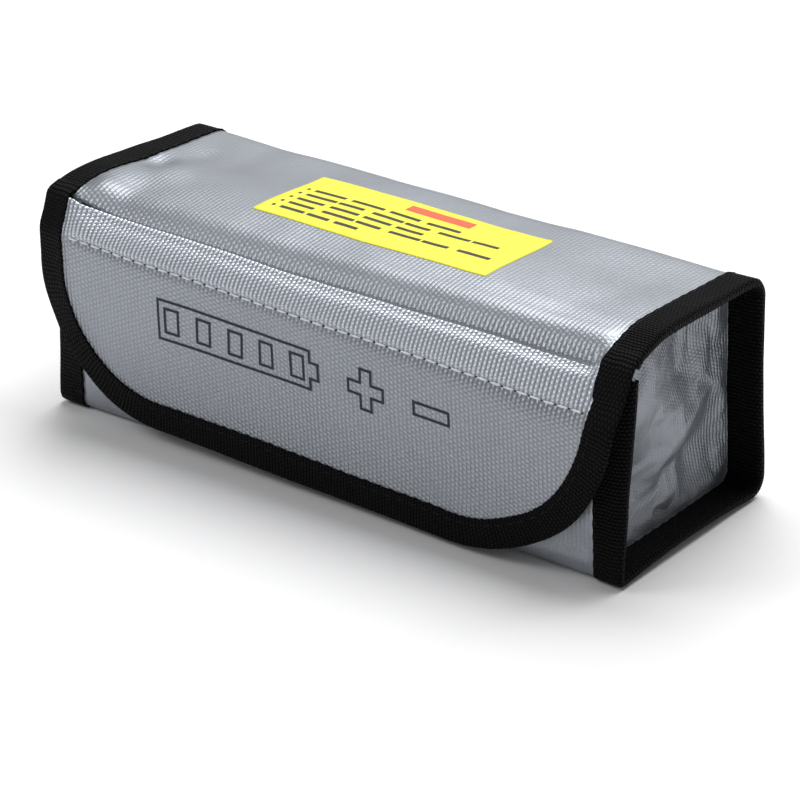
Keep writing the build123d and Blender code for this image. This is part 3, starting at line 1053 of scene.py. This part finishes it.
class BAG_OT_bindings(bpy.types.Operator):
    """Folds the binding tape over both end fins, the flap's edge and the mouth's edge"""

    bl_idname = "bag.bindings"
    bl_label = "Bindings"

    def execute(self, context):
        material = binding_tape()
        leaf = BINDING_HIGH.x - PANEL - 1.3 * MM
        count = int(BINDING_ROUTE.length / TAPE_STEP)
        for side, name in ((1, "right"), (-1, "left")):
            path = [end_edge(side, BINDING_ROUTE.length * i / count, leaf) for i in range(count + 1)]
            bm, length = tape_round(
                on_fin, path, (0, 0, -1), outer=TAPE_LIFT, inner=-1.95 * MM, extra=1.2 * MM)
            piece = finish_piece(bm, f"binding_{name}", "bag", [material], [f"{name}_end_binding"])
            thicken(piece, TAPE_THICKNESS, 0.0)

        bm, length = tape_round(on_flap, flap_edge(), (0, -1, 0), outer=TAPE_LIFT, inner=-1.15 * MM)
        piece = finish_piece(bm, "binding_flap", None, [material], ["flap_binding"])
        thicken(piece, TAPE_THICKNESS, 0.0)
        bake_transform(piece)

        width = MOUTH_HIGH.z - MOUTH_LOW.z
        path = [(x, run, 0, -1, width) for x, run in straight_row(MOUTH_HIGH.x, width - TAPE, 160)]
        bm, length = tape_round(on_wrap, path, (0, -1, 0), outer=TAPE_LIFT, inner=-1.1 * MM)
        piece = finish_piece(bm, "binding_mouth", "bag", [material], ["mouth_binding"])
        thicken(piece, TAPE_THICKNESS, 0.0)
        return {"FINISHED"}


def straight_row(half, run, steps=100):
    """Points (x, run) along the bag from -half to half."""
    return [((2 * i / steps - 1) * half, run) for i in range(steps + 1)]


def end_edge(side, run, leaf):
    """Where the leaves of an end's binding begin: they are narrower near the flap, to meet its binding."""
    leaf += (crease_leaf(side) - leaf) * smooth((run - BINDING_ROUTE.length + 34 * MM) / (34 * MM))
    return side * (BINDING_HIGH.x - leaf), run, side, 0, leaf


def crease_leaf(side):
    """Width of both bindings where they meet at the crease."""
    return FLAP_LEAF + (1.3 if side > 0 else 0.3) * MM


def flap_edge():
    """Where the leaves of the flap's binding begin, and the way to its edge, from the left to the right."""
    edge = BINDING_HIGH.x
    low = FLAP_LOW.z - TAPE
    leaf = FLAP_LEAF
    sides = {}
    for side in (-1, 1):
        radius = corner_radius(side) + TAPE
        centre_x, centre_z = edge - radius, low + radius
        leg = fall_to(centre_z)
        rows = int(leg / TAPE_STEP)
        arc_steps = int(radius * math.pi / 2 / TAPE_STEP)
        flat_steps = int(centre_x / TAPE_STEP)
        path = sides[side] = []
        for i in range(rows):
            run = leg * i / rows
            wide = leaf + (crease_leaf(side) - leaf) * smooth((26 * MM - run) / (22 * MM))
            path.append((side * (edge - wide), run, side, 0, wide))
        for i in range(arc_steps):
            angle = math.pi / 2 * i / arc_steps
            out_x, out_z = math.cos(angle), -math.sin(angle)
            x = centre_x + (radius - leaf) * out_x
            run = fall_to(centre_z + (radius - leaf) * out_z)
            path.append((side * x, run, side * out_x, -out_z, leaf))
        for i in range(flat_steps):
            path.append((side * centre_x * (1 - i / flat_steps), fall_to(low + leaf), 0, 1, leaf))
    middle = (0, fall_to(low + leaf), 0, 1, leaf)
    return sides[-1] + [middle] + sides[1][::-1]


class BAG_OT_threads(bpy.types.Operator):
    """Sews every row of stitches"""

    bl_idname = "bag.threads"
    bl_label = "Threads"

    def execute(self, context):
        sewing = context.scene.bag_sewing
        white = spun_thread("white_thread", tuple(sewing.white))
        black = spun_thread("black_thread", (0.006, 0.006, 0.007))

        bm = bmesh.new()
        seam = straight_row(PANEL + 1.5 * MM, fall_to(SEAM))
        places = stitch_places(on_flap, seam, 0.10 * MM, sewing.pitch)
        sew(bm, places, sewing.length, sewing.thickness)
        # Painted shade: dark patches at the needle holes, between the stitches, stand in for the dips'
        # shadows.
        hole_shades = [(middle - above * 0.12 * MM, ahead, above) for middle, ahead, above in places]
        sew(bm, hole_shades, 0.9 * MM, 0.62 * MM, 1, sewing.pitch / 2)
        finish_piece(bm, "seam_thread", "flap", [white, needle_hole_shade()], ["flap_seam_thread"])

        for side, name in ((1, "right"), (-1, "left")):
            path = [(side * (PANEL + THREAD_INSET), BINDING_ROUTE.length * i / 200) for i in range(201)]
            self.fine_row(on_fin, path, f"binding_thread_{name}", "bag", black, f"{name}_end_binding_thread")
        path = [(x + edge_x * THREAD_INSET, run + edge_run * THREAD_INSET)
                for x, run, edge_x, edge_run, leaf in flap_edge()]
        hanging = [place for place in path if place[1] > fall_to(FOLD_LOW)]
        self.fine_row(on_flap, hanging, "binding_thread_flap", "flap", black, "flap_binding_thread")
        path = straight_row(MOUTH_HIGH.x - 8 * MM, WALL_TOP - MOUTH_LOW.z - THREAD_INSET)
        self.fine_row(on_wrap, path, "binding_thread_mouth", "bag", black, "mouth_thread")

        for surface, low, high, lift, name, body, node in (
            (on_wall, LOOP_LOW, LOOP_HIGH, 0.62 * MM, "loop_thread", "bag", "loop_strip_thread"),
            (on_hanging, HOOK_LOW, HOOK_HIGH, -1.42 * MM, "hook_thread", "flap", "hook_strip_thread"),
        ):
            bm = bmesh.new()
            for z in (low.z + 1 * MM, high.z - 1 * MM):
                path = [(low.x + (high.x - low.x) * i / 60, z) for i in range(61)]
                sew(bm, stitch_places(surface, path, lift, 3.2 * MM), 2.5 * MM, 0.4 * MM)
            finish_piece(bm, name, body, [white], [node])
        return {"FINISHED"}

    def fine_row(self, surface, path, name, body, material, node):
        """The thin stitches that hold a binding."""
        sewing = bpy.context.scene.bag_sewing
        bm = bmesh.new()
        sew(bm, stitch_places(surface, path, STITCH_LIFT, sewing.pitch), sewing.length * 0.8, FINE_THREAD)
        finish_piece(bm, name, body, [material], [node])


def on_wall(x, z, lift):
    """A point on the front wall, given by its height."""
    return on_wrap(x, WALL_TOP - z, lift)


def on_hanging(x, z, lift):
    """A point on the hanging part of the flap, given by its height."""
    return on_flap(x, fall_to(z), lift)


class BAG_OT_fastening(bpy.types.Operator):
    """Sews on the loop tape below the mouth and the hook tape inside the flap"""

    bl_idname = "bag.fastening"
    bl_label = "Hook and loop tapes"

    def execute(self, context):
        ground = binding_tape()
        for name, node, low, high, body, surface, base, way, nap in (
            ("loop_tape", "loop_strip", LOOP_LOW, LOOP_HIGH, "bag", on_wall, 0.1 * MM, 1,
             pile("loop_pile", 1500, 0.35 * MM)),
            ("hook_tape", "hook_strip", HOOK_LOW, HOOK_HIGH, "flap", on_hanging, -0.9 * MM, -1,
             pile("hook_pile", 1100, 0.4 * MM)),
        ):
            bm = bmesh.new()
            uv = bm.loops.layers.uv.new("cloth")
            bmesh.ops.create_grid(bm, x_segments=70, y_segments=10, size=0.5)
            for face in bm.faces:
                for loop in face.loops:
                    co = loop.vert.co
                    loop[uv].uv = ((co.x + 0.5) * (high.x - low.x), (co.y + 0.5) * (high.z - low.z))
            field = [face for face in bm.faces if abs(face.calc_center_median().y) < 0.36]
            bmesh.ops.inset_region(bm, faces=field, thickness=0.012, use_boundary=True)
            raised = bmesh.ops.extrude_face_region(bm, geom=field)["geom"]
            top = [item for item in raised if isinstance(item, bmesh.types.BMVert)]
            bmesh.ops.delete(bm, geom=field, context="FACES_ONLY")
            bmesh.ops.translate(bm, verts=top, vec=(0, 0, 1))
            for face in bm.faces:
                face.material_index = 1 if min(vert.co.z for vert in face.verts) > 0.5 else 0
            for vert in bm.verts:
                x = low.x + (vert.co.x + 0.5) * (high.x - low.x)
                z = low.z + (vert.co.y + 0.5) * (high.z - low.z)
                nap_height = 0.55 * MM + 0.15 * MM * noise.noise(Vector((x, z, 0)) / (1.1 * MM))
                lift = base + way * (0.45 * MM + (nap_height if vert.co.z > 0.5 else 0.0))
                vert.co = surface(x, z, lift)
            turn_outwards(bm, Vector((0, -way, 0)))
            piece = finish_piece(bm, name, body, [ground, nap], [node])
            thicken(piece, CLOTH_THICKNESS)
        return {"FINISHED"}


# The label's print, in shares of its length and depth.
LABEL_LINES = ((4, 0.72), (6, 0.93), (4, 0.64), (6, 0.94), (3, 0.42))  # words in each line, and where it ends
LINE_START = 0.07
LINE_PITCH = 0.125
LINE_HEIGHT = 0.05
FIRST_LINE = 0.70  # top of the first line
INK_LIFT = 0.17 * MM  # of the label's print off the roof


class BAG_OT_label(bpy.types.Operator):
    """Sticks the yellow label on the roof, with plain bars in place of words"""

    bl_idname = "bag.label"
    bl_label = "Roof label"

    def execute(self, context):
        colors = context.scene.bag_print
        film = finish_piece(
            roof_patch(84, 30, 0, 1, 0, 1, 0.12 * MM), "roof_label_film", "bag",
            [printed("label_film", tuple(colors.yellow), 0.42)], ["roof_label"])
        thicken(film, 0.12 * MM)

        bars = [roof_patch(24, 3, 0.42, 0.70, 0.80, 0.92, INK_LIFT)]
        for row, (count, stop) in enumerate(LABEL_LINES):
            top = FIRST_LINE - row * LINE_PITCH
            spot = LINE_START - 0.035
            bars.append(roof_patch(2, 1, spot, spot + 0.013, top - 0.045, top - 0.005, INK_LIFT))
            pitch = (stop - LINE_START) / count
            for word in range(count):
                left = LINE_START + word * pitch
                size = pitch * (0.84 + 0.1 * math.sin(3.0 * word + 1.7 * row))
                bars.append(roof_patch(12, 2, left, left + size, top - LINE_HEIGHT, top, INK_LIFT))
        bm = bmesh.new()
        join_all(bm, bars, lambda index: min(index, 1))
        red = printed("label_red", tuple(colors.red), 0.5)
        ink = printed("label_ink", (0.03, 0.03, 0.02), 0.5)
        finish_piece(bm, "roof_label_bars", "bag", [red, ink])
        return {"FINISHED"}


def roof_patch(spans, rungs, left, right, low, high, lift):
    """Part of the label's rectangle laid on the roof, given by shares of its length and depth."""
    # The crowned roof is longer than the plain one, so the label is a little deeper along the cloth.
    width = LABEL_HIGH.x - LABEL_LOW.x
    depth = LABEL_HIGH.y - LABEL_LOW.y + 1.8 * MM
    roof_run = WRAP_CUT - (LABEL_HIGH.y + 1.6 * MM - CREASE)
    return patch(
        lambda x, run: on_wrap(x, run, lift), spans, rungs,
        lambda a, b: (LABEL_LOW.x + width * (left + (right - left) * a),
                      roof_run + depth * (1 - low - (high - low) * b)), (0, 0, 1))


def join_all(bm, parts, material_of):
    """Joins bmeshes into one. material_of turns a part's index into its material slot."""
    for index, part in enumerate(parts):
        for face in part.faces:
            face.material_index = material_of(index)
        mesh = bpy.data.meshes.new("part")
        part.to_mesh(mesh)
        part.free()
        bm.from_mesh(mesh)
        bpy.data.meshes.remove(mesh)


# The print on the flap: a battery, and its plus and minus.
CASE = 57 * MM  # length of the battery
NUB = 3 * MM  # length of its terminal, and half of the terminal's height
CASE_MARGIN = 2.4 * MM  # from the battery's outline to its charge bars
CHARGE_BAR = 5.6 * MM  # width of one charge bar
SIGN_GAP = 10 * MM
SIGN_ARM = 2.3 * MM  # half of the width of a sign's arms


class BAG_OT_flap_print(bpy.types.Operator):
    """Prints the outlines of a battery with its charge bars, a plus and a minus on the flap"""

    bl_idname = "bag.flap_print"
    bl_label = "Print on the flap"

    def execute(self, context):
        colors = context.scene.bag_print
        tall = (PRINT_HIGH.z - PRINT_LOW.z) / 2
        middle = (PRINT_HIGH.z + PRINT_LOW.z) / 2
        left = PRINT_LOW.x
        case_end = left + CASE
        nub_end = case_end + NUB
        parts = [outline([left, case_end, nub_end], [-tall, -NUB, NUB, tall], ((1, 0), (1, 2)), colors.line)]
        step = (CASE - 2 * CASE_MARGIN - CHARGE_BAR) / (colors.bars - 1)
        for number in range(colors.bars):
            start = left + CASE_MARGIN + number * step
            parts.append(outline([start, start + CHARGE_BAR], [CASE_MARGIN - tall, tall - CASE_MARGIN], (),
                                 colors.line))
        plus = nub_end + SIGN_GAP + tall
        arms = [-tall, -SIGN_ARM, SIGN_ARM, tall]
        corners = ((0, 0), (2, 0), (0, 2), (2, 2))
        parts.append(outline([plus + reach for reach in arms], arms, corners, colors.line))
        minus = plus + tall + SIGN_GAP
        parts.append(outline([minus, minus + 2 * tall], [-SIGN_ARM, SIGN_ARM], (), colors.line))
        bm = bmesh.new()
        join_all(bm, parts, lambda index: 0)
        uv = bm.loops.layers.uv.get("cloth") or bm.loops.layers.uv.new("cloth")
        for face in bm.faces:
            for loop in face.loops:
                x, z, _ = loop.vert.co
                loop[uv].uv = (x, -fall_to(middle + z))
        for vert in bm.verts:
            vert.co = on_flap(vert.co.x, fall_to(middle + vert.co.y), 0.07 * MM)
        turn_outwards(bm, Vector((0, -1, 0)))
        ink = printed("printed_ink", tuple(colors.ink), 0.55)
        finish_piece(bm, "flap_print_ink", "flap", [ink], ["flap_print"])
        return {"FINISHED"}


def outline(columns, rows, missing, width):
    """The printed line round a shape made of cells between columns and rows, without the missing cells."""
    bm = bmesh.new()
    bm.loops.layers.uv.new("cloth")
    across, up = len(columns) - 1, len(rows) - 1
    bmesh.ops.create_grid(bm, x_segments=across, y_segments=up, size=0.5)
    for vert in bm.verts:
        vert.co = (columns[round((vert.co.x + 0.5) * across)], rows[round((vert.co.y + 0.5) * up)], 0)
    gone = []
    for face in bm.faces:
        middle = face.calc_center_median()
        cell = (sum(middle.x > column for column in columns) - 1, sum(middle.y > row for row in rows) - 1)
        if cell in missing:
            gone.append(face)
    bmesh.ops.delete(bm, geom=gone, context="FACES")
    inner = bm.faces[:]
    bmesh.ops.inset_region(bm, faces=inner, thickness=width, use_boundary=True, use_even_offset=True)
    bmesh.ops.delete(bm, geom=inner, context="FACES")
    long_edges = [edge for edge in bm.edges if edge.calc_length() > 3 * MM]
    bmesh.ops.subdivide_edges(bm, edges=long_edges, cuts=9, use_grid_fill=True)
    return bm


BAG_MIDDLE = Vector((0, 2.1 * MM, 33 * MM))


class BAG_OT_stage(bpy.types.Operator):
    """Sets the floor, the soft lights and the camera"""

    bl_idname = "bag.stage"
    bl_label = "Floor, lights and camera"

    def execute(self, context):
        scene = context.scene
        stage = scene.bag_stage
        bm = bmesh.new()
        bmesh.ops.create_grid(bm, x_segments=1, y_segments=1, size=6)
        floor = finish_piece(bm, "studio_floor", None, [floor_paint()])

        world = bpy.data.worlds.new("studio")
        world.use_nodes = True
        world.node_tree.nodes["Background"].inputs["Color"].default_value = (1, 1, 1, 1)
        world.node_tree.nodes["Background"].inputs["Strength"].default_value = 0.27
        scene.world = world

        self.lamp("top_softbox", (-0.05, 0.56, 1.2), (0, 0, 0.05), (1.3, 0.9), 20)
        self.lamp("back_softbox", (-0.55, 1.35, 0.75), (0, 0, 0.05), (1.4, 0.9), 2.5)
        self.lamp("left_softbox", (-0.95, -0.7, 1.05), (0, 0, 0.03), (0.6, 0.6), 4.6)
        self.aim_camera(scene, stage)
        scene.view_settings.view_transform = "Standard"
        scene.view_settings.look = "None"
        return {"FINISHED"}

    def lamp(self, name, place, target, size, power):
        """A soft rectangular light that faces a point."""
        light = bpy.data.lights.new(name, "AREA")
        light.shape = "RECTANGLE"
        light.size, light.size_y = size
        light.energy = power
        lamp = bpy.data.objects.new(name, light)
        lamp.location = place
        lamp.rotation_euler = (Vector(target) - Vector(place)).to_track_quat("-Z", "Y").to_euler()
        bpy.context.scene.collection.objects.link(lamp)

    def aim_camera(self, scene, stage):
        """Places the camera by its angles round the bag's middle."""
        azimuth, elevation, roll = stage.azimuth, stage.elevation, stage.roll
        back = Vector((math.sin(azimuth) * math.cos(elevation), -math.cos(azimuth) * math.cos(elevation),
                       math.sin(elevation)))
        right = (-back).cross(Vector((0, 0, 1))).normalized()
        up = right.cross(-back)
        turned_right = math.cos(roll) * right + math.sin(roll) * up
        turned_up = -math.sin(roll) * right + math.cos(roll) * up
        place = BAG_MIDDLE + back * stage.distance + turned_right * stage.aside - turned_up * stage.below
        camera = bpy.data.objects.new("camera", bpy.data.cameras.new("camera"))
        camera.data.lens = stage.lens
        camera.data.sensor_width = 36
        camera.data.clip_end = 20
        camera.matrix_world = Matrix.Translation(place) @ Matrix(
            (turned_right, turned_up, back)).transposed().to_4x4()
        scene.collection.objects.link(camera)
        scene.camera = camera


class BAG_PT_panel(bpy.types.Panel):
    """Lists the bag's pieces in the sidebar"""

    bl_idname = "BAG_PT_panel"
    bl_label = "Charging bag"
    bl_space_type = "VIEW_3D"
    bl_region_type = "UI"
    bl_category = "Bag"

    def draw(self, context):
        for operator in STEPS:
            self.layout.operator(operator.bl_idname)


STEPS = (
    BAG_OT_stage, BAG_OT_wrap, BAG_OT_flap, BAG_OT_ends, BAG_OT_bindings, BAG_OT_threads, BAG_OT_fastening,
    BAG_OT_label, BAG_OT_flap_print,
)
SETTINGS = {
    "bag_cloth": ClothSettings, "bag_tape": TapeSettings, "bag_sewing": SewingSettings,
    "bag_print": PrintSettings, "bag_stage": StageSettings,
}


def register():
    for settings in SETTINGS.values():
        bpy.utils.register_class(settings)
    for name, settings in SETTINGS.items():
        setattr(bpy.types.Scene, name, PointerProperty(type=settings))
    for operator in STEPS:
        bpy.utils.register_class(operator)
    bpy.utils.register_class(BAG_PT_panel)


def unregister():
    bpy.utils.unregister_class(BAG_PT_panel)
    for operator in reversed(STEPS):
        bpy.utils.unregister_class(operator)
    for name, settings in SETTINGS.items():
        delattr(bpy.types.Scene, name)
        bpy.utils.unregister_class(settings)


def main():
    register()
    for operator in STEPS:
        group, name = operator.bl_idname.split(".")
        getattr(getattr(bpy.ops, group), name)()


if __name__ == "__main__":
    main()
